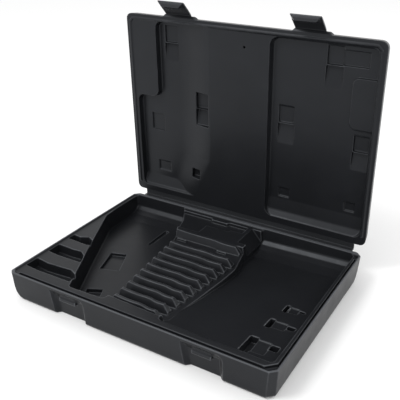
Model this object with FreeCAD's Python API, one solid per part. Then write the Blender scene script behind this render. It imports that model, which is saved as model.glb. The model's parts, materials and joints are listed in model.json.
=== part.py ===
"""Empty double-walled tool case: base, lid, two flexing latches, one flexing hinge.

Everything is drawn in case coordinates (mm): origin at the front left corner of the base's
rim, X to the right, Y to the back, Z up, rim plane at z = 0.  The lid is drawn lying open flat
behind the base and then turned about the hinge line to the angle it stands at.
"""
import FreeCAD, Part
import math
import os

from FreeCAD import Vector

os.makedirs("parts", exist_ok=True)

# ---- overall size --------------------------------------------------------------------------
WIDTH = 400.0            # left to right
DEPTH = 295.0            # front to back of the base
BASE_HEIGHT = 42.0
LID_THICKNESS = 22.0
CORNER_CUTS = (5.0, 8.0, 8.0, 8.0)   # base corners seen from above: front left, front right, back right, back left
LID_CORNER = 9.0         # radius of the lid's corners
SHELL_WALL = 2.2         # outer walls
SKIN = 2.0               # inner walls
GAP = 0.3                # between the closed lid and the base

# ---- hinge and latches ---------------------------------------------------------------------
HINGE_OFFSET = 7.2       # hinge line behind the back edge of the base
HINGE_LEFT, HINGE_RIGHT = 17.0, 384.0
HINGE_RADIUS = 0.9
LEAF = 2.0               # thickness of the hinge leaves
LID_STAND = 92.2         # turn from lying flat open to the angle the lid stands at
LATCH_LEFTS = (70.0, 274.0)
LATCH_WIDTH = 43.0
LATCH_REACH = 4.5        # latch line in front of the lid's edge
LATCH_RISE = 4.2         # latch line below the lid's face, into its thickness
LATCH_OPEN = 46.0        # turn of the flap away from its hooked position
LATCH_RADIUS = 0.9
RECESS_SLANT = 0.8       # sideways run of the latch recess's left side, mm per mm of depth

# ---- inside levels -------------------------------------------------------------------------
DECK = -2.5              # general level inside the lip
GROOVE_FLOOR = -6.8
BIN_FLOOR = -30.0
SLOT_FLOOR = -14.0
REAR_SHELF = -8.0
RIGHT_FLOOR_ROLL = 1.43  # degrees the right bin's floor rises towards the right wall
RIB_TOP = -3.0
LIP = 2.5                # width of the outer lip
DRAFT = 0.10             # lean of the inner walls, mm per mm


# ---- drawing helpers -----------------------------------------------------------------------
def box(x0, x1, y0, y1, z0, z1):
    return Part.makeBox(x1 - x0, y1 - y0, z1 - z0, Vector(x0, y0, z0))


def grown(points, grow):
    """Corners of an anticlockwise outline moved outward by grow."""
    count = len(points)
    moved = []
    for i in range(count):
        ax, ay = points[i - 1]
        bx, by = points[i]
        cx, cy = points[(i + 1) % count]
        la, lb = math.hypot(bx - ax, by - ay), math.hypot(cx - bx, cy - by)
        ux, uy = (bx - ax) / la, (by - ay) / la
        vx, vy = (cx - bx) / lb, (cy - by) / lb
        cross = ux * vy - uy * vx
        px, py = bx + grow * uy, by - grow * ux
        qx, qy = bx + grow * vy, by - grow * vx
        step = ((qx - px) * vy - (qy - py) * vx) / cross
        moved.append((px + step * ux, py + step * uy))
    return moved


def outline(points, radius, grow, z):
    """Closed wire at height z; corners rounded, sharper or softer as the outline grows."""
    corners = grown(points, grow)
    count = len(corners)
    starts, ends, mids = [], [], []
    for i in range(count):
        a, b, c = (Vector(*corners[j % count], z) for j in (i - 1, i, i + 1))
        into = (b - a).normalize()
        out = (c - b).normalize()
        turn = math.atan2(into.x * out.y - into.y * out.x, into.dot(out))
        r = max(radius + (grow if turn > 0 else -grow), 0.5)
        cut = r * math.tan(abs(turn) / 2)
        cut = min(cut, 0.45 * (b - a).Length, 0.45 * (c - b).Length)
        r = cut / math.tan(abs(turn) / 2)
        start, end = b - into * cut, b + out * cut
        inward = (out - into).normalize()
        middle = b + inward * (r / math.cos(turn / 2) - r)
        starts.append(start)
        ends.append(end)
        mids.append(middle)
    edges = []
    for i in range(count):
        edges.append(Part.Arc(starts[i], mids[i], ends[i]).toShape())
        edges.append(Part.makeLine(ends[i], starts[(i + 1) % count]))
    return Part.Wire(edges)


def sharp(points, z):
    return Part.makePolygon([Vector(x, y, z) for x, y in points + points[:1]])


def prism(points, z0, z1, grow=0.0):
    face = Part.Face(sharp(grown(points, grow), z0))
    return face.extrude(Vector(0, 0, z1 - z0))


def pocket(points, floor, radius=3.0, grow=0.0, draft=DRAFT):
    """Drafted hollow open at the top; a grown one is the same hollow with a skin round it."""
    low = floor - grow
    wires = [outline(points, radius, grow + draft * low, low), outline(points, radius, grow + draft, 1.0)]
    return Part.makeLoft(wires, True, True)


def across(profile, x0, x1):
    """Outline in Y and Z, drawn out from x0 to x1."""
    wire = Part.makePolygon([Vector(x0, y, z) for y, z in profile + profile[:1]])
    return Part.Face(wire).extrude(Vector(x1 - x0, 0, 0))


def along(profile, y0, y1):
    """Outline in X and Z, drawn out from y0 to y1."""
    wire = Part.makePolygon([Vector(x, y0, z) for x, z in profile + profile[:1]])
    return Part.Face(wire).extrude(Vector(0, y1 - y0, 0))


def rectangle(x0, x1, y0, y1):
    return [(x0, y0), (x1, y0), (x1, y1), (x0, y1)]


def union(shapes):
    first, rest = shapes[0], shapes[1:]
    return first.multiFuse(rest) if rest else first


def corner(x, y, towards_x, towards_y, size, facets):
    """Points that round or, with one facet, cut a corner, starting on the side that runs along y."""
    points = []
    for i in range(facets + 1):
        turn = math.pi / 2 * i / facets
        points.append((x + towards_x * size * (1 - math.cos(turn)), y + towards_y * size * (1 - math.sin(turn))))
    return points


def tub(height, drafts, rolls, cuts, facets, wall=0.0):
    """Solid with cut or rounded corners and rolled lower edges; sides in the order left, front, right, back."""
    low = height - wall
    biggest = max(rolls)
    levels = [1.0 if wall else 0.0, -(low - biggest) * 0.99]
    for share in (0.35, 0.6, 0.78, 0.9, 0.97, 1.0):
        levels.append(-(low - biggest) - biggest * share)
    wires = []
    for z in levels:
        insets = []
        for draft, roll in zip(drafts, rolls):
            r = roll - wall
            sunk = min(max(-z - (low - r), 0.0), r)
            insets.append(wall + draft * max(-z, 0.0) / height + r - math.sqrt(r * r - sunk * sunk))
        left, front, right, back = insets
        grow = 0.15 * (front + right - 2 * wall) - 0.6 * wall
        c1, c2, c3, c4 = [cut + grow for cut in cuts]
        x0, x1, y0, y1 = left, WIDTH - right, front, DEPTH - back
        points = corner(x0, y0, 1, 1, c1, facets)
        points += corner(x1, y0, -1, 1, c2, facets)[::-1]
        points += corner(x1, y1, -1, -1, c3, facets)
        points += corner(x0, y1, 1, -1, c4, facets)[::-1]
        wires.append(sharp(points, z))
    return Part.makeLoft(wires, True, True)


# ---- base: outer shell ---------------------------------------------------------------------
BASE_DRAFTS = (1.5, 2.0, 2.5, 3.0)
BASE_ROLLS = (18.0, 4.0, 4.5, 18.0)


def latch_recess(left, wall=0.0):
    """Dip in the front wall behind a latch: slanted and steep at its left, running out at its right."""
    x0, x1, x2 = left + 2.5 - 1.3 * wall, left + 54.0, left + 65.0 + 1.5 * wall
    wires = []
    for z, back, lean in ((-BASE_HEIGHT - 1.0, 8.5, 3.8), (-14.0, 6.0, 0.6), (-4.0 + wall, 0.5, 0.0)):
        deep = back + wall
        near, far = x0 + lean - 3.0 * RECESS_SLANT, x0 + lean + deep * RECESS_SLANT
        wires.append(sharp([(near, -3.0), (x2, -3.0), (x1, deep), (far, deep)], z))
    return Part.makeLoft(wires, True, True)


base_body = tub(BASE_HEIGHT, BASE_DRAFTS, BASE_ROLLS, CORNER_CUTS, 1)
base_hollow = tub(BASE_HEIGHT, BASE_DRAFTS, BASE_ROLLS, CORNER_CUTS, 1, SHELL_WALL)
lip_hollow = prism(
    [(LIP + 7, LIP), (WIDTH - LIP - 7, LIP), (WIDTH - LIP, LIP + 7), (WIDTH - LIP, DEPTH - LIP - 7),
     (WIDTH - LIP - 7, DEPTH - LIP), (LIP + 7, DEPTH - LIP), (LIP, DEPTH - LIP - 7), (LIP, LIP + 7)],
    -9.0, 1.0)
air = base_hollow.common(box(0, WIDTH, 0, DEPTH, -BASE_HEIGHT, -9.0)).fuse(lip_hollow)
recesses = [latch_recess(left) for left in LATCH_LEFTS]
recess_skins = [latch_recess(left, SKIN) for left in LATCH_LEFTS]
inside = air.cut(union(recess_skins))
base_outer_shell = base_body.cut(union(recesses)).cut(inside)

# ---- base: inner tray ----------------------------------------------------------------------
BACK = 289.5                                                # inner face of the back wall
BIN_EDGE = [(92, 17), (49, 109), (7, 204), (6, 222)]        # edge of the left deck, front to back
RACK_LEFT = [(102, BACK), (117, 262), (126, 232), (140, 192), (148, 100), (150, 32)]
RACK_RIGHT = [(231, 19), (236, 48), (243, 90), (250, 150), (252, 182), (243, 222), (242, 285)]

left_bin_plan = BIN_EDGE[::-1] + [(148, 19)] + RACK_LEFT[::-1] + [(6, BACK)]
right_bin_plan = [RACK_RIGHT[0], (389, 19), (390, BACK), (244, BACK)] + RACK_RIGHT[::-1][1:-1]
rack_plan = [(149, 17), (232, 16)] + RACK_RIGHT[1:6] + [(244, 229), (127, 229)] + RACK_LEFT[3:]
rear_plan = [(127, 229), (244, 229), (244, 300), (96, 300), (102, 285), (117, 262)]


def left_bin_tool(grow=0.0):
    floor = BIN_FLOOR - grow
    profile = [
        (10, 3), (10, floor), (253 + grow, floor), (272 + grow, floor + 1.8), (282 + grow, floor + 5.0),
        (287 + grow, floor + 10), (293 + grow, floor + 22), (293 + grow, 3),
    ]
    return across(profile, -5, 160).common(pocket(left_bin_plan, BIN_FLOOR, 6.0, grow))


def right_bin_tool(grow=0.0):
    """The floor falls from the front to the back and a little towards the rack."""
    profile = [
        (8, 3), (8, -10.5 - grow), (253 + grow, BIN_FLOOR - 0.5 - grow), (272 + grow, BIN_FLOOR + 1.5 - grow),
        (282 + grow, BIN_FLOOR + 5.0 - grow), (287 + grow, BIN_FLOOR + 10 - grow), (293 + grow, BIN_FLOOR + 22 - grow),
        (293 + grow, 3),
    ]
    slope = across(profile, 215, 415)
    slope.rotate(Vector(225, 0, 0), Vector(0, 1, 0), -RIGHT_FLOOR_ROLL)
    return slope.common(pocket(right_bin_plan, BIN_FLOOR - 2, 6.0, grow))


# socket pockets of the left deck, each narrowing to a neck that opens into the bin
DECK_POCKETS = [
    [(4.5, 27.5), (27, 25.5), (86.5, 26), (81, 44), (67, 50), (45, 48), (27, 47), (4.5, 50)],
    [(4.5, 72), (24, 70), (67, 71), (58, 88), (47, 95.5), (31, 94), (4.5, 95)],
    [(4.5, 115), (24, 114.5), (48, 113), (40, 129), (29, 134), (17, 127.5), (4.5, 129)],
]
DECK_POCKET_FLOOR = -16.0

# socket pockets of the right bin floor: a long chamber, a raised saddle and a short chamber
SADDLE_POCKETS = [
    ((339, 353, 26, 62), (350, 371, 31, 59), (368, 382, 44, 57), -9.5),
    ((343, 353, 86, 110), (350, 371, 89, 107.5), (368, 382, 94, 105), -13.5),
    ((347, 356, 129, 151), (353, 370, 131.5, 148.5), (367, 378, 138, 146), -17.0),
]
SADDLE_DEPTH = 12.0



def at_floor(plan):
    """Outline at the lip for a hollow whose outline at the bin floor is given."""
    return grown(plan, -DRAFT * BIN_FLOOR)


GROOVE_PLAN = [(12, 1), (WIDTH - 10, 1), (WIDTH - 1, 10), (WIDTH - 1, DEPTH - 16),
               (WIDTH - 6.5, DEPTH - 16), (WIDTH - 6.5, 21), (WIDTH - 18, 9.5), (12, 9.5)]

plain_tools = [
    (GROOVE_PLAN, GROOVE_FLOOR, 1.5),
    (at_floor([(70, 106), (98, 115), (80, 158), (57, 150)]), BIN_FLOOR - 5.0, 2.0),
    (at_floor([(88, 56), (94, 44), (117, 46), (108, 66)]), BIN_FLOOR - 6.0, 1.5),
    (at_floor([(90, 200), (95, 199), (97, 249), (90, 250)]), BIN_FLOOR - 3.0, 1.5),
]
for plan in DECK_POCKETS:
    plain_tools.append((plan, DECK_POCKET_FLOOR, 2.5))
for long_chamber, saddle, short_chamber, level in SADDLE_POCKETS:
    plain_tools.append((rectangle(*long_chamber), level - SADDLE_DEPTH, 2.0))
    plain_tools.append((rectangle(*short_chamber), level - SADDLE_DEPTH + 1.0, 2.0))
    plain_tools.append((rectangle(*saddle), level - 3.0, 2.0))



def block_slope_tool(grow=0.0):
    """Soft slope from the rear block's top down to the right bin."""
    profile = [(229 - grow, 3), (229 - grow, DECK - grow), (248, -24 - grow), (262, -24 - grow), (262, 3)]
    return along(profile, 235 - grow, 283 + grow)


hollows = [left_bin_tool(), right_bin_tool(), block_slope_tool()] + [pocket(p, f, r) for p, f, r in plain_tools]
skins = [left_bin_tool(SKIN), right_bin_tool(SKIN), block_slope_tool(SKIN)]
skins += [pocket(p, f, r, SKIN) for p, f, r in plain_tools]

# sunken shelf behind the rack, open to the left bin, round a raised block
rear_hollows = [
    ([(108, 231.5), (163, 231.5), (163, 256.5), (202, 256.5), (203, 261.5), (222.5, 262), (222.5, 282.5),
      (190, 282.5), (187, 278), (161, 278), (158, 282.5), (94, 282.5)], REAR_SHELF, 1.5),
]

slab = box(0, WIDTH, 0, DEPTH, DECK - SKIN, DECK)
back_band = box(0, WIDTH, BACK - 0.2, DEPTH, DECK - SKIN, -GAP)
plate = slab.fuse(back_band)
raw = plate.multiFuse(skins + [pocket(p, f, r, SKIN) for p, f, r in rear_hollows])
rack_block = prism(rack_plan, SLOT_FLOOR - SKIN, DECK)
raw = raw.fuse(rack_block)
cuts = hollows + [pocket(p, f, r) for p, f, r in rear_hollows]
above = box(-5, WIDTH + 5, -5, BACK - 0.2, DECK, 5).fuse(box(-5, WIDTH + 5, BACK - 0.2, DEPTH + 5, -GAP, 5))
tray = raw.cut(union(cuts)).cut(above).common(inside)

# ribs: each has a sloping front, a gently stepped run and a bevel at its right end
RIB_COUNT = 10
RIB_THICKNESS = 4.2
RIB_FRONT_FOOT, RIB_BACK_FOOT = 5.5, 0.8
FIRST_RIB = ((153.0, 35.5), (229.0, 33.0))
LAST_RIB = ((139.0, 188.0), (247.5, 187.5))
BACK_BAR = ((124.0, 226.0), (241.5, 223.0))
RIB_RUN = [(0.0, 1.1), (0.08, 0.2), (0.25, -0.4), (0.45, 0.3), (0.62, 0.7), (0.72, -0.7), (0.86, -0.2), (1.0, 0.8)]
BEVEL = 9.0


def rib(left, right, thickness):
    """Wall from the slot floor to the rib top, wider at its foot."""
    (x0, y0), (x1, y1) = left, right
    length = math.hypot(x1 - x0, y1 - y0)
    height = RIB_TOP - SLOT_FLOOR
    wires = []
    for z, front, back in ((0.0, RIB_FRONT_FOOT, RIB_BACK_FOOT), (height, 0.0, 0.0)):
        near = [Vector(length * share, side - thickness / 2 - front, z) for share, side in RIB_RUN]
        far = [Vector(length * share, side + thickness / 2 + back, z) for share, side in RIB_RUN]
        sides = []
        for row in (near, far[::-1]):
            curve = Part.BSplineCurve()
            curve.interpolate(row)
            sides.append(curve.toShape())
        ends = [Part.makeLine(near[-1], far[-1]), Part.makeLine(far[0], near[0])]
        wires.append(Part.Wire([sides[0], ends[0], sides[1], ends[1]]))
    wall = Part.makeLoft(wires, True, True)
    profile = [(-1, -1), (length + 1, -1), (length + 1, height - 8), (length, height - 8), (length - BEVEL, height),
               (2.5, height), (0, height - 3.0), (-1, height - 3.0)]
    wall = wall.common(along(profile, -12, 12))
    wall.rotate(Vector(0, 0, 0), Vector(0, 0, 1), math.degrees(math.atan2(y1 - y0, x1 - x0)))
    wall.translate(Vector(x0, y0, SLOT_FLOOR))
    return wall


def between(a, b, share):
    return tuple(p + (q - p) * share for p, q in zip(a, b))


ribs = []
for i in range(RIB_COUNT):
    share = i / (RIB_COUNT - 1)
    ribs.append(rib(between(FIRST_RIB[0], LAST_RIB[0], share), between(FIRST_RIB[1], LAST_RIB[1], share),
                    RIB_THICKNESS))
ribs.append(rib(BACK_BAR[0], BACK_BAR[1], RIB_THICKNESS))

# zones of the tray, in order; each takes what the ones before it left
slot_region = [(149.5, 29.0), (229.5, 26.0), (260, 60), (260, 225), (244, 225), (124, 227.5), (105, 227.5), (130, 60)]
deck_zone = [(-5, 9.5 + SKIN), (110, 9.5 + SKIN), (110, 60), (60, 150), (20, 225), (-5, 225)]


def column(plan, grow=0.0):
    return prism(plan, -BASE_HEIGHT, 2, grow)


zones = [
    ("rear_rim", box(-5, WIDTH + 5, BACK - 0.6, DEPTH + 5, DECK - SKIN, 2)),
    ("spanner_rack", column(rack_plan, 3.4)),
    ("rear_block", column(rear_plan, 3.4)),
    ("left_bin", column(left_bin_plan, 2.3).fuse(box(-5, 20, 226, DEPTH + 5, -BASE_HEIGHT, 2))),
    ("right_bin", column(right_bin_plan, 3.2)),
    ("left_socket_deck", column(deck_zone)),
    ("rim_channel", box(-5, WIDTH + 5, -5, DEPTH + 5, -BASE_HEIGHT, 2)),
]


def split(skin, zones):
    """Parts of the skin by zone; specks under a few cubic millimetres are left out."""
    parts = {}
    taken = None
    for name, zone in zones:
        part = skin.common(zone if taken is None else zone.cut(taken))
        solids = [solid for solid in part.Solids if solid.Volume > 5.0]
        parts[name] = union(solids)
        taken = zone if taken is None else taken.fuse(zone)
    return parts


pieces = {"base_outer_shell": base_outer_shell}
pieces.update(split(tray, zones))

slots = prism(slot_region, SLOT_FLOOR, 3).common(prism(rack_plan, SLOT_FLOOR, 3, 5))
pieces["spanner_rack"] = pieces["spanner_rack"].cut(slots)
# two low rests in the widest slot
for x0, y0 in ((137.0, 211.5), (207.0, 210.0)):
    rest = box(x0, x0 + 16.0, y0, y0 + 3.0, SLOT_FLOOR - 0.5, SLOT_FLOOR + 3.5)
    pieces["spanner_rack"] = pieces["spanner_rack"].fuse(rest)
standing = prism(rack_plan, SLOT_FLOOR, 3, 0.5).cut(pieces["spanner_rack"]).cut(pieces["rear_block"])
for i, wall in enumerate(ribs[:-1]):
    pieces["rack_rib_%02d" % (i + 1)] = wall.common(standing)
pieces["rack_back_bar"] = max(ribs[-1].common(standing).Solids, key=lambda solid: solid.Volume)

# ---- base: latch catches and hinge -----------------------------------------------------------
HINGE_Y = DEPTH + HINGE_OFFSET


def latch_catch(left):
    """Wedge in the recess that the hook goes under."""
    profile = [(12, -6), (1.4, -13.5), (1.4, -18.0), (12, -16.0)]
    return across(profile, left + 18.0, left + 45.0).common(recesses[LATCH_LEFTS.index(left)])


hinge_rod = Part.makeCylinder(HINGE_RADIUS, HINGE_RIGHT - HINGE_LEFT, Vector(HINGE_LEFT, HINGE_Y, 0), Vector(1, 0, 0))
base_leaf = box(HINGE_LEFT, HINGE_RIGHT, DEPTH - 3, HINGE_Y, -GAP - LEAF, -GAP)
pieces["hinge_base_leaf"] = base_leaf.cut(base_body).cut(hinge_rod)
pieces["hinge_film"] = hinge_rod
for side, left in zip(("left", "right"), LATCH_LEFTS):
    pieces["latch_catch_" + side] = latch_catch(left)

# ---- lid, drawn lying open flat: x as before, y from its hinge edge out, face at z = 0 ----------
LID_DRAFTS = (3.0, 3.0, 3.0, 3.0)
LID_ROLLS = (9.0, 9.0, 9.0, 9.0)
RECESS_FLOOR = -10.0

LID_CORNERS = (LID_CORNER,) * 4
lid_body = tub(LID_THICKNESS, LID_DRAFTS, LID_ROLLS, LID_CORNERS, 4)
lid_hollow = tub(LID_THICKNESS, LID_DRAFTS, LID_ROLLS, LID_CORNERS, 4, SKIN)
lid_inside = lid_hollow.common(box(0, WIDTH, 0, DEPTH, -LID_THICKNESS, 0.0))
lid_outer_shell = lid_body.cut(lid_inside)

left_recess_plan = [(13, 9), (131, 9), (150, 60), (150, 287), (52, 287), (52, 170), (13, 170)]
right_recess_plan = rectangle(239.5, 391.5, 11, 285)


def left_recess_tool(grow=0.0):
    """Deepest along its left side; the floor rises in a long S to the lid's face at its right."""
    floor = RECESS_FLOOR - grow
    wires = []
    for y, rise_start, rise_end in ((-5.0, 58.0, 112.0), (80.0, 88.0, 151.0), (305.0, 88.0, 151.0)):
        profile = [(5, 3), (5, floor)]
        for i in range(13):
            share = i / 12
            rise = share * share * (3 - 2 * share)
            level = floor - RECESS_FLOOR * rise + 0.4 * share + grow * rise
            profile.append((rise_start + (rise_end - rise_start) * share + grow, level))
        profile.append((165, 3))
        wires.append(Part.makePolygon([Vector(x, y, z) for x, z in profile + profile[:1]]))
    swept = Part.makeLoft(wires, True, True)
    end = [(0, 3), (10 - grow, 0), (13 - grow, -4.0 - grow), (28 - grow, floor), (300, floor), (300, 3)]
    hollow = pocket(left_recess_plan, RECESS_FLOOR, 11.0, grow)
    return hollow.common(swept).common(across(end, -5, 200))


def right_recess_tool(grow=0.0):
    floor = RECESS_FLOOR - grow
    end = [(0, 3), (10 - grow, 0), (20 - grow, -7.0 - grow), (40 - grow, floor), (300, floor), (300, 3)]
    hollow = pocket(right_recess_plan, RECESS_FLOOR, 13.0, grow, 0.25)
    return hollow.common(across(end, 220, 405))


def stepped_pocket(x0, x1, y0, y1, y2, level, deep=4.0, grow=0.0):
    """Upper chamber y1 to y2 with a flat floor; lower one y0 to y1, deeper, running out downward."""
    upper = pocket(rectangle(x0, x1, y1, y2), level - deep, 1.5, grow)
    run = [(y0 - grow, 3), (y0 - grow, level - grow), (y1 + grow, level - deep - 2.5 - grow), (y1 + grow, 3)]
    return upper.fuse(across(run, x0 - grow, x1 + grow))


def plain_pocket(x0, x1, y0, y1, level, deep=3.0, grow=0.0):
    return pocket(rectangle(x0, x1, y0, y1), level - deep, 1.5, grow)


STEPPED = [
    (62, 86, 228, 254, 281, -10.0), (117, 141, 134, 160, 187, -7.5),
    (318, 342, 223, 253, 281, -10.0), (252, 277, 130, 160, 188, -10.0), (364, 387, 111, 137, 163, -10.0),
]
PLAIN = [
    (30, 55, 109, 139, -10.0), (39, 64, 38, 57, -9.0), (107, 124, 42, 58, -8.0),
    (256, 276, 42, 59, -9.5), (359, 377, 44, 60, -9.5), (340, 377, 254, 277, -10.0),
]


def lid_tools(grow=0.0):
    tools = [left_recess_tool(grow), right_recess_tool(grow)]
    tools += [stepped_pocket(*numbers, grow=grow) for numbers in STEPPED]
    tools += [plain_pocket(*numbers, grow=grow) for numbers in PLAIN]
    return tools


lid_plate = box(0, WIDTH, 0, DEPTH, -SKIN, 0)
blow_hole = Part.makeCylinder(1.8, 8, Vector(201, 265, -6), Vector(0, 0, 1))
lid_skin = lid_plate.multiFuse(lid_tools(SKIN)).cut(union(lid_tools())).cut(blow_hole).common(lid_inside)

pad_plan = [(357.5, 171), (400, 171), (400, 242), (357.5, 242)]
lid_pad = Part.Face(outline(pad_plan, 9.0, 0, RECESS_FLOOR)).extrude(Vector(0, 0, 3.5))

lid_zones = [
    ("lid_left_recess", column(left_recess_plan, 2.3)),
    ("lid_right_recess", column(right_recess_plan, 2.3)),
    ("lid_face_frame", box(-5, WIDTH + 5, -5, DEPTH + 5, -LID_THICKNESS, 2)),
]
lid_pieces = {"lid_outer_shell": lid_outer_shell}
lid_pieces.update(split(lid_skin, lid_zones))
lid_pieces["lid_right_recess"] = lid_pieces["lid_right_recess"].fuse(lid_pad.common(right_recess_tool()))

# locating bead along three sides of the face
BEAD_IN, BEAD_OUT, BEAD_HIGH = 8.0, 5.2, 1.6
bead_outer = [(BEAD_OUT, 14), (WIDTH - BEAD_OUT, 14), (WIDTH - BEAD_OUT, DEPTH - 11), (WIDTH - 11, DEPTH - BEAD_OUT),
              (11, DEPTH - BEAD_OUT), (BEAD_OUT, DEPTH - 11)]
bead_inner = [(BEAD_IN, 10), (WIDTH - BEAD_IN, 10), (WIDTH - BEAD_IN, DEPTH - 13), (WIDTH - 13, DEPTH - BEAD_IN),
              (13, DEPTH - BEAD_IN), (BEAD_IN, DEPTH - 13)]
lid_pieces["lid_bead"] = prism(bead_outer, 0, BEAD_HIGH).cut(prism(bead_inner, -1, BEAD_HIGH + 1))

# hinge leaf of the lid
lid_leaf = box(HINGE_LEFT, HINGE_RIGHT, -HINGE_OFFSET + HINGE_RADIUS + 0.4, 3, -LEAF, 0)
lid_pieces["hinge_lid_leaf"] = lid_leaf.cut(lid_body)

# latch roots: shoulders on the lid's free edge, tapering out to the latch line
LATCH_Y = DEPTH + LATCH_REACH
LATCH_Z = -LATCH_RISE


def latch_root(left):
    low = left - 8.0
    wide = [(low, DEPTH - 6), (low + 65, DEPTH - 6), (low + 57, LATCH_Y - 1.4), (low + 7, LATCH_Y - 1.4)]
    body = prism(wide, -8.5, -0.2)
    side = [(DEPTH - 7, 1), (DEPTH - 7, -9), (DEPTH, -9), (LATCH_Y - 1, -5.6), (LATCH_Y - 1, -2.8), (DEPTH + 0.5, -0.4),
            (DEPTH - 4, -0.2)]
    body = body.common(across(side, low - 1, low + 66)).cut(lid_body)
    arm = box(left, left + LATCH_WIDTH, LATCH_Y - 1.5, LATCH_Y, LATCH_Z - 0.8, LATCH_Z + 0.8)
    return body.fuse(arm).cut(latch_rod(left))


def latch_rod(left):
    return Part.makeCylinder(LATCH_RADIUS, LATCH_WIDTH, Vector(left, LATCH_Y, LATCH_Z), Vector(1, 0, 0))


def latch_flap(left):
    """Flap and hook in the hooked position, hanging from the latch line."""
    reach = LATCH_RADIUS + 0.35
    plate = [(-1.3, -reach - 0.2), (1.2, -reach - 0.2), (1.1, -14.0), (1.5, -18.5), (-1.2, -26.5), (-1.5, -14.0)]
    hook = [(1.5, -18.5), (2.6, -21.3), (4.0, -22.9), (5.9, -23.6), (6.8, -25.6), (4.0, -28.0), (0.6, -29.6),
            (-0.6, -29.2), (-1.2, -26.5)]
    right = left + LATCH_WIDTH
    narrowing = [(left, -3), (right, -3), (right, 0.75), (right - 7.5, 7.05), (left + 7.5, 7.05), (left, 0.75)]
    return across(plate, left, right), across(hook, left, right).common(prism(narrowing, -31, -17))


def hang(shape):
    """From hooked-position axes to the flat lid: hooked side up, hanging direction to the lid's back."""
    turned = shape.copy()
    turned.rotate(Vector(0, 0, 0), Vector(1, 0, 0), 180.0 - LATCH_OPEN)
    turned.translate(Vector(0, LATCH_Y, LATCH_Z))
    return turned


for side, left in zip(("left", "right"), LATCH_LEFTS):
    lid_pieces["latch_root_" + side] = latch_root(left)
    lid_pieces["latch_film_" + side] = latch_rod(left)
    flap, hook = latch_flap(left)
    lid_pieces["latch_flap_" + side] = hang(flap)
    lid_pieces["latch_hook_" + side] = hang(hook)

for name, shape in lid_pieces.items():
    stood = shape.copy()
    stood.translate(Vector(0, HINGE_Y + HINGE_OFFSET, -GAP))
    stood.rotate(Vector(0, HINGE_Y, 0), Vector(1, 0, 0), LID_STAND)
    pieces[name] = stood

# ---- to the shared frame: origin under the middle of the base, Z up -----------------------------
for name, shape in pieces.items():
    shape.translate(Vector(-WIDTH / 2, -DEPTH / 2, BASE_HEIGHT))
    shape.exportStep("parts/%s.step" % name)
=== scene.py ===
"""Empty black double-walled tool case, standing open, on a white studio floor.

The base and the lid are each one blow moulding, so each is one piece here: the CAD nodes of that
moulding are joined, the trapped air between their walls is filled, and the result is remeshed and
softened, which rounds every edge as the moulding process does. The two latches are remeshed and
Three thin webs, each curved to its shape at rest, lie between the parts that move.
"""
import json
import math

import bmesh
import bpy
import numpy as np
from mathutils import Matrix, Vector
from mathutils.bvhtree import BVHTree

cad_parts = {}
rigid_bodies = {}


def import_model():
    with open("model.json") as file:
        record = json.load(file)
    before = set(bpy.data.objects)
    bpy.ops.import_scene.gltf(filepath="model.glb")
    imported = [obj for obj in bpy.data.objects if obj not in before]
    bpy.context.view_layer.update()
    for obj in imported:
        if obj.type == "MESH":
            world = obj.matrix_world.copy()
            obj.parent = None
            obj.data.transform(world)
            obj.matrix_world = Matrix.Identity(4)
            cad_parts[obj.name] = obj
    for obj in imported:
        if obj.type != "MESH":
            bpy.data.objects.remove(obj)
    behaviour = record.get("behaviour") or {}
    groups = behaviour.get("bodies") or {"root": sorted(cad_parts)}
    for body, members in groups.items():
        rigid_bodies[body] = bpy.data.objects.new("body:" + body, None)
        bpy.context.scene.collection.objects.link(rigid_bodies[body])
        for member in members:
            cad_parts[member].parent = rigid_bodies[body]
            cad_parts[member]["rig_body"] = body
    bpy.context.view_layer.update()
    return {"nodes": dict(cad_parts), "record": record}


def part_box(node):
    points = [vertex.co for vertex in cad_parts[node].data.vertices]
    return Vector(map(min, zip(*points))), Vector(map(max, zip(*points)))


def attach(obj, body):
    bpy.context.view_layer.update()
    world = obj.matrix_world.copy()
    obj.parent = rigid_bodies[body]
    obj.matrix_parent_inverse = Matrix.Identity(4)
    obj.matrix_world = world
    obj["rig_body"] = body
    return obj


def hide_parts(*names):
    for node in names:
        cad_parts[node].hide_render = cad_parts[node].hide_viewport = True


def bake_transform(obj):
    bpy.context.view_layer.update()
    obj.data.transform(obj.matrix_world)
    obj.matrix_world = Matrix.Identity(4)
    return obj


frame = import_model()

MM = 0.001
nodes = frame["nodes"]
joints = {joint["name"]: joint for joint in frame["record"]["behaviour"]["joints"]}
SIDES = ("left", "right")

# How fine and how soft the meshes are.
WELD = 0.001 * MM               # vertices closer than this are one
VOXEL = 0.8 * MM
LATCH_VOXEL = 0.35 * MM
SOFTENING = 0.5                 # strength of one smoothing pass
MOULDING_PASSES = 3
LATCH_PASSES = 6
TRIANGLE_LIMIT = 180000         # in one moulding

# How the trapped air of a moulding is found and filled.
PROBE_STEP = 1.0 * MM           # distance between the vertical rays
PROBE_START = 2 * MM            # distance outside the moulding where they start
FILL_MARGIN = 0.9 * MM          # how far the filling stays inside the skins
MISSED_TOP = -1.0               # heights, in metres, of a column that no ray hits: its top is
MISSED_BOTTOM = 1.0             # far below its bottom, so it is never filled


# ---- meshes ----------------------------------------------------------------------------------
def new_object(name, data):
    piece = bpy.data.objects.new(name, data)
    bpy.context.scene.collection.objects.link(piece)
    return piece


def members(body, leave_out):
    """Names of the CAD nodes on a body, apart from those to leave out."""
    return [name for name, node in nodes.items() if node["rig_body"] == body and name not in leave_out]


def joined(names):
    """One bmesh of the named CAD nodes' copies."""
    bm = bmesh.new()
    for name in names:
        bm.from_mesh(nodes[name].data)
    bmesh.ops.remove_doubles(bm, verts=bm.verts, dist=WELD)
    return bm


def object_from(bm, name):
    """The bmesh as a new object; the bmesh is used up."""
    mesh = bpy.data.meshes.new(name)
    bm.to_mesh(mesh)
    bm.free()
    return new_object(name, mesh)


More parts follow.
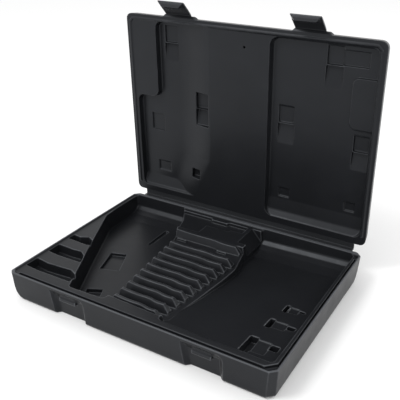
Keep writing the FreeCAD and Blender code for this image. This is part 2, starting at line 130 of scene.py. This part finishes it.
def about(point, axis, angle):
    """Turn by an angle round the axis through a point."""
    return Matrix.Translation(point) @ Matrix.Rotation(angle, 4, axis) @ Matrix.Translation(-point)


def apply_modifier(piece, kind, **settings):
    """Give the piece the mesh that one modifier makes of it."""
    modifier = piece.modifiers.new("step", kind)
    for key, value in settings.items():
        setattr(modifier, key, value)
    graph = bpy.context.evaluated_depsgraph_get()
    mesh = bpy.data.meshes.new_from_object(piece.evaluated_get(graph), depsgraph=graph)
    piece.modifiers.clear()
    old = piece.data
    piece.data = mesh
    bpy.data.meshes.remove(old)


def soften(piece, voxel, passes):
    """Remesh the piece at the voxel size, then round its edges."""
    apply_modifier(piece, "REMESH", mode="VOXEL", voxel_size=voxel)
    apply_modifier(piece, "SMOOTH", factor=SOFTENING, iterations=passes)


def window(grid, pick):
    """Lowest or highest value in each point's 3 by 3 neighbourhood."""
    padded = np.pad(grid, 1, mode="edge")
    rows, columns = grid.shape
    stack = [padded[i:i + rows, j:j + columns] for i in range(3) for j in range(3)]
    return pick(stack, axis=0)


def filling(bm):
    """Mesh that fills the trapped air: everything between what is seen from above and from below."""
    tree = BVHTree.FromBMesh(bm)
    points = np.array([v.co for v in bm.verts])
    low, high = points.min(0) - PROBE_START, points.max(0) + PROBE_START
    xs = np.arange(low[0], high[0], PROBE_STEP)
    ys = np.arange(low[1], high[1], PROBE_STEP)
    top = np.full((len(xs), len(ys)), MISSED_TOP)
    bottom = np.full((len(xs), len(ys)), MISSED_BOTTOM)
    down, up = Vector((0, 0, -1)), Vector((0, 0, 1))
    for i, x in enumerate(xs):
        for j, y in enumerate(ys):
            hit = tree.ray_cast(Vector((x, y, high[2])), down)[0]
            if hit is not None:
                top[i, j] = hit.z
                bottom[i, j] = tree.ray_cast(Vector((x, y, low[2])), up)[0].z
    top = window(top, np.min) - FILL_MARGIN
    bottom = window(bottom, np.max) + FILL_MARGIN

    # A cell is filled where all four of its corners have room between the skins.
    inside = top - bottom > FILL_MARGIN
    cells = inside[:-1, :-1] & inside[1:, :-1] & inside[:-1, 1:] & inside[1:, 1:]
    around = np.pad(cells, 1)
    used = np.argwhere(inside)
    count = len(used)
    number = -np.ones(inside.shape, int)
    number[inside] = np.arange(count)
    verts = [(xs[i], ys[j], level[i, j]) for level in (top, bottom) for i, j in used]
    faces = []
    for i, j in np.argwhere(cells):
        a, b, c, d = number[i, j], number[i + 1, j], number[i + 1, j + 1], number[i, j + 1]
        faces.append((a, b, c, d))
        faces.append((a + count, d + count, c + count, b + count))
        # A wall goes down each side that has no filled cell beyond it.
        neighbours = (
            ((i + 1, j), a, b),
            ((i + 1, j + 2), c, d),
            ((i, j + 1), d, a),
            ((i + 2, j + 1), b, c),
        )
        for beyond, first, second in neighbours:
            if not around[beyond]:
                faces.append((first, first + count, second + count, second))
    mesh = bpy.data.meshes.new("filling")
    mesh.from_pydata(verts, [], faces)
    return mesh


def moulding(name, body, names, turn=Matrix.Identity(4)):
    """One soft-edged piece for the named nodes; turn brings its open side up while it is made."""
    bm = joined(names)
    bm.transform(turn)
    bm.from_mesh(filling(bm))
    piece = object_from(bm, name)
    soften(piece, VOXEL, MOULDING_PASSES)
    triangles = 2 * len(piece.data.polygons)
    if triangles > TRIANGLE_LIMIT:
        apply_modifier(piece, "DECIMATE", ratio=TRIANGLE_LIMIT / triangles)
    piece.data.transform(turn.inverted())
    piece.data.shade_smooth()
    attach(piece, body)
    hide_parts(*names)
    return piece


# ---- materials -------------------------------------------------------------------------------
PLASTIC_IOR = 1.5
SHEEN_TINT = (0.90, 0.94, 1.0, 1.0)
# Painted highlight: a pale colour mixed into sharp edges and the base's rim lip, standing in for the
# glint of light along them.
EDGE_HIGHLIGHT_COLOUR = (0.11, 0.115, 0.125, 1.0)
LIP_HIGHLIGHT_SHARE = 0.55                  # how far the lip goes towards the painted highlight colour
LEAST_EDGE_HIGHLIGHT = 0.4                 # share of the painted edge highlight that is left in the least handled patches
COLOUR_SPREAD = 0.12            # the base colour goes this share darker and lighter
GLOSS_SPREAD = (-0.03, 0.04)    # roughness goes from this much below to this much above its mean

# Noise textures: scale, detail and roughness.
FLOW_MARKS = (14.0, 3.0, 0.5)
HANDLED_PATCHES = (38.0, 4.0, 0.6)
FINE_GRAIN = (1900.0, 2.0, 0.5)
WALL_SWELL = (55.0, 2.0, 0.5)
NOISE_RANGE = (0.3, 0.7)        # nearly all of a noise's values lie in this range

# Bumps: strength and height.
GRAIN_BUMP = (0.25, 0.05 * MM)
SWELL_BUMP = (0.35, 0.6 * MM)

# The Mix node's sockets go by number, since its socket names repeat for each kind of data.
MIX_AMOUNT = 0
MIX_FROM = 6
MIX_TO = 7
MIX_RESULT = 2


def black_plastic(name, base, rough, shine, grain=1.0, edge_highlight=None, lip_highlight=None):
    """Moulded black polyethylene: satin skin, fine grain, faint flow and handling marks.

    edge_highlight is the range of edge sharpness over which edges go from plain to a pale painted
    highlight, and lip_highlight is the range of heights over which the rim that the lid closes on
    does.
    """
    material = bpy.data.materials.new(name)
    material.use_nodes = True
    tree = material.node_tree
    shader = tree.nodes["Principled BSDF"]
    shader.inputs["IOR"].default_value = PLASTIC_IOR
    shader.inputs["Specular IOR Level"].default_value = shine
    shader.inputs["Specular Tint"].default_value = SHEEN_TINT
    place = tree.nodes.new("ShaderNodeTexCoord")

    def noise(scale, detail, roughness):
        node = tree.nodes.new("ShaderNodeTexNoise")
        node.inputs["Scale"].default_value = scale
        node.inputs["Detail"].default_value = detail
        node.inputs["Roughness"].default_value = roughness
        tree.links.new(place.outputs["Object"], node.inputs["Vector"])
        return node.outputs["Fac"]

    def ranged(source, low, high, source_range=NOISE_RANGE):
        node = tree.nodes.new("ShaderNodeMapRange")
        node.inputs["From Min"].default_value = source_range[0]
        node.inputs["From Max"].default_value = source_range[1]
        node.inputs["To Min"].default_value = low
        node.inputs["To Max"].default_value = high
        tree.links.new(source, node.inputs["Value"])
        return node.outputs["Result"]

    def combined(operation, first, second):
        node = tree.nodes.new("ShaderNodeMath")
        node.operation = operation
        tree.links.new(first, node.inputs[0])
        tree.links.new(second, node.inputs[1])
        return node.outputs["Value"]

    def bump(height, strength, distance):
        node = tree.nodes.new("ShaderNodeBump")
        node.inputs["Strength"].default_value = strength
        node.inputs["Distance"].default_value = distance
        tree.links.new(height, node.inputs["Height"])
        return node

    ramp = tree.nodes.new("ShaderNodeValToRGB")
    shades = (1 - COLOUR_SPREAD, 1 + COLOUR_SPREAD)
    for stop, level, shade in zip(ramp.color_ramp.elements, NOISE_RANGE, shades):
        stop.position = level
        stop.color = [channel * shade for channel in base] + [1.0]
    tree.links.new(noise(*FLOW_MARKS), ramp.inputs["Fac"])
    colour = ramp.outputs["Color"]

    patches = noise(*HANDLED_PATCHES)
    # Painted highlight: sharp edges, less so in some patches, and the base's rim lip are mixed towards
    # a pale colour to stand in for the glint of light along them.
    if edge_highlight:
        geometry = tree.nodes.new("ShaderNodeNewGeometry")
        edges = ranged(geometry.outputs["Pointiness"], 0.0, 1.0, edge_highlight)
        highlight_amount = combined("MULTIPLY", edges, ranged(patches, LEAST_EDGE_HIGHLIGHT, 1.0))
        if lip_highlight:
            position = tree.nodes.new("ShaderNodeSeparateXYZ")
            tree.links.new(place.outputs["Object"], position.inputs["Vector"])
            highlight_amount = combined("MAXIMUM", ranged(position.outputs["Z"], 0.0, LIP_HIGHLIGHT_SHARE, lip_highlight), highlight_amount)
        highlight_mix = tree.nodes.new("ShaderNodeMix")
        highlight_mix.data_type = "RGBA"
        highlight_mix.inputs[MIX_TO].default_value = EDGE_HIGHLIGHT_COLOUR
        tree.links.new(highlight_amount, highlight_mix.inputs[MIX_AMOUNT])
        tree.links.new(colour, highlight_mix.inputs[MIX_FROM])
        colour = highlight_mix.outputs[MIX_RESULT]
    tree.links.new(colour, shader.inputs["Base Color"])

    gloss = ranged(patches, rough + GLOSS_SPREAD[0], rough + GLOSS_SPREAD[1])
    tree.links.new(gloss, shader.inputs["Roughness"])

    grain_strength, grain_height = GRAIN_BUMP
    grain_bump = bump(noise(*FINE_GRAIN), grain_strength * grain, grain_height)
    swell_bump = bump(noise(*WALL_SWELL), *SWELL_BUMP)
    tree.links.new(grain_bump.outputs["Normal"], swell_bump.inputs["Normal"])
    tree.links.new(swell_bump.outputs["Normal"], shader.inputs["Normal"])
    return material


def dress(piece, material):
    piece.data.materials.clear()
    piece.data.materials.append(material)


CASE_COLOUR = (0.0098, 0.0104, 0.0120)
LATCH_COLOUR = (0.0105, 0.0110, 0.0125)
WEB_COLOUR = (0.020, 0.021, 0.023)
LIP_HIGHLIGHT_HEIGHTS = (0.0402, 0.0414)  # metres above the floor; the rim lip between these heights gets a painted highlight

# The edge ranges below set which edges get a painted pale highlight, and the lip heights set where the
# base's rim lip gets one.
base_black = black_plastic("base_black", CASE_COLOUR, rough=0.34, shine=0.22,
                           edge_highlight=(0.507, 0.550), lip_highlight=LIP_HIGHLIGHT_HEIGHTS)
lid_black = black_plastic("lid_black", CASE_COLOUR, rough=0.34, shine=0.22, edge_highlight=(0.515, 0.600))
latch_black = black_plastic("latch_black", LATCH_COLOUR, rough=0.28, shine=0.42, grain=0.6,
                            edge_highlight=(0.53, 0.62))
web_black = black_plastic("web_black", WEB_COLOUR, rough=0.32, shine=0.36, grain=0.6)

# ---- mouldings -------------------------------------------------------------------------------
hinge = joints["lid_hinge"]
hinge_point = Vector(hinge["pos_m"])
flat_open = math.radians(hinge["range_deg"][0])     # turn that lays the lid down with its inside up
lid_flat = about(hinge_point, Vector(hinge["axis"]), flat_open)

hinge_nodes = ["hinge_base_leaf", "hinge_lid_leaf", "hinge_film"]
latch_films = ["latch_film_" + side for side in SIDES]
base = moulding("base_moulding", "base", members("base", hinge_nodes))
lid = moulding("lid_moulding", "lid", members("lid", hinge_nodes + latch_films), lid_flat)
dress(base, base_black)
dress(lid, lid_black)

# ---- latches ---------------------------------------------------------------------------------
for side in SIDES:
    names = ["latch_flap_" + side, "latch_hook_" + side]
    latch = object_from(joined(names), "latch_" + side)
    soften(latch, LATCH_VOXEL, LATCH_PASSES)
    latch.data.shade_smooth()
    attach(latch, "latch_" + side)
    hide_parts(*names)
    dress(latch, latch_black)

# ---- hinge and latch webs --------------------------------------------------------------------
SHARP = math.radians(40)        # a web's faces that meet at more than this keep a sharp edge

HINGE_SHEET = 1.7 * MM
HINGE_DEPTH = 1.3 * MM          # middle of the sheet under the hinge line
HINGE_RUN = 8.6 * MM            # from the hinge line into each moulding
HINGE_STEPS = 12                # steps of the curve round the hinge line

LATCH_SHEET = 1.4 * MM
LATCH_HANG = math.radians(44.0)     # open flap's rise from the lid's plane, at rest
LATCH_BOW = 1.2 * MM            # distance from the latch line to each end of the curve
LATCH_RUN = 2.8 * MM            # distance from the latch line into the lid and into the flap
LATCH_STEPS = 8                 # steps of the curve round the latch line


def web(name, line, path, thickness, ends, replaced):
    """Sheet of even thickness between two bodies, curved along the path.

    path is (y, z) pairs from the line; ends are the sheet's two ends in x.
    """
    count = len(path)
    verts = []
    for i, (y, z) in enumerate(path):
        before, after = path[max(i - 1, 0)], path[min(i + 1, count - 1)]
        along = Vector((after[0] - before[0], after[1] - before[1])).normalized() * thickness / 2
        for x in ends:
            verts.append((x, line.y + y - along.y, line.z + z + along.x))
            verts.append((x, line.y + y + along.y, line.z + z - along.x))
    last = 4 * (count - 1)
    faces = [(0, 1, 3, 2), (last + 2, last + 3, last + 1, last)]
    for i in range(count - 1):
        for a, b in ((0, 2), (2, 3), (3, 1), (1, 0)):
            faces.append((4 * i + a, 4 * i + b, 4 * i + 4 + b, 4 * i + 4 + a))
    mesh = bpy.data.meshes.new(name)
    mesh.from_pydata(verts, [], faces)
    mesh.shade_smooth()
    mesh.set_sharp_from_angle(angle=SHARP)
    piece = new_object(name, mesh)
    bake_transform(piece)
    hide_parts(*replaced)
    dress(piece, web_black)


def turned(points, angle):
    """(y, z) pairs turned by an angle round the line."""
    cos, sin = math.cos(angle), math.sin(angle)
    return [(y * cos - z * sin, y * sin + z * cos) for y, z in points]


def ends_in_x(box):
    return box[0][0], box[1][0]


standing = -flat_open           # angle from the lid lying open to the lid at rest
under_hinge = [(0.0, -HINGE_DEPTH)]
base_run = [(-HINGE_RUN * share, -HINGE_DEPTH) for share in (1.0, 0.5, 0.0)]
arc = [turned(under_hinge, standing * i / HINGE_STEPS)[0] for i in range(1, HINGE_STEPS)]
lid_run = turned([(HINGE_RUN * share, -HINGE_DEPTH) for share in (0.0, 0.5, 1.0)], standing)
web("hinge_web", hinge_point, base_run + arc + lid_run, HINGE_SHEET,
    ends_in_x(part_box("hinge_film")), hinge_nodes)

# A latch web is made in the plane of the lid lying open, then turned to the lid at rest.
flap_y, flap_z = math.cos(LATCH_HANG), math.sin(LATCH_HANG)
bow = []
for step in range(LATCH_STEPS + 1):
    share = step / LATCH_STEPS
    from_lid, to_flap = LATCH_BOW * (1 - share) ** 2, LATCH_BOW * share ** 2
    bow.append((-from_lid + to_flap * flap_y, to_flap * flap_z))
latch_path = turned([(-LATCH_RUN, 0.0)] + bow + [(LATCH_RUN * flap_y, LATCH_RUN * flap_z)], standing)
for side in SIDES:
    latch_point = Vector(joints["latch_%s_hinge" % side]["pos_m"])
    web("latch_web_" + side, latch_point, latch_path, LATCH_SHEET,
        ends_in_x(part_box("latch_film_" + side)),
        ["latch_film_" + side])

# ---- floor, light and camera -----------------------------------------------------------------
FLOOR_REACH = 6.0               # metres from the middle to each edge
FLOOR_COLOUR = (0.94, 0.94, 0.94, 1)
FLOOR_ROUGHNESS = 0.9
WORLD_COLOUR = (1, 1, 1, 1)
WORLD_STRENGTH = 1.0

# Panels of soft light: place, target, size in metres, watts.
PANELS = {
    "key": ((1.6, -0.6, 1.5), (0, 0, 0.1), (1.2, 1.2), 1),
    "front": ((-0.70, -0.95, 1.60), (0, 0, 0.05), (0.5, 0.9), 15),
    "rim": ((1.25, 1.55, 0.90), (0.1, 0, 0.05), (0.5, 0.3), 6),
}

CAMERA_PLACE = Vector((0.4018, -0.6410, 0.5107))
CAMERA_TARGET = Vector((-0.0896, 0.1765, 0.042))
LENS_MM = 56.9
SENSOR_MM = 36.0

floor_mesh = bpy.data.meshes.new("floor")
floor_corners = [(-1, -1), (1, -1), (1, 1), (-1, 1)]
floor_verts = [(x * FLOOR_REACH, y * FLOOR_REACH, 0) for x, y in floor_corners]
floor_mesh.from_pydata(floor_verts, [], [(0, 1, 2, 3)])
floor = new_object("floor", floor_mesh)
floor_white = bpy.data.materials.new("floor_white")
floor_white.use_nodes = True
floor_shader = floor_white.node_tree.nodes["Principled BSDF"]
floor_shader.inputs["Base Color"].default_value = FLOOR_COLOUR
floor_shader.inputs["Roughness"].default_value = FLOOR_ROUGHNESS
floor_shader.inputs["Specular IOR Level"].default_value = 0.0
dress(floor, floor_white)

world = bpy.data.worlds.new("studio")
bpy.context.scene.world = world
world.use_nodes = True
background = world.node_tree.nodes["Background"]
background.inputs["Color"].default_value = WORLD_COLOUR
background.inputs["Strength"].default_value = WORLD_STRENGTH


def facing(place, target):
    """Rotation that points a light or the camera from its place at a target."""
    return (Vector(target) - Vector(place)).to_track_quat("-Z", "Y").to_euler()


for name, (place, target, size, watts) in PANELS.items():
    light = bpy.data.lights.new(name, "AREA")
    light.shape = "RECTANGLE"
    light.size, light.size_y = size
    light.energy = watts
    lamp = new_object(name, light)
    lamp.location = place
    lamp.rotation_euler = facing(place, target)

camera_data = bpy.data.cameras.new("camera")
camera_data.lens = LENS_MM
camera_data.sensor_width = SENSOR_MM
camera = new_object("camera", camera_data)
camera.location = CAMERA_PLACE
camera.rotation_euler = facing(CAMERA_PLACE, CAMERA_TARGET)
bpy.context.scene.camera = camera
bpy.context.scene.view_settings.view_transform = "Standard"
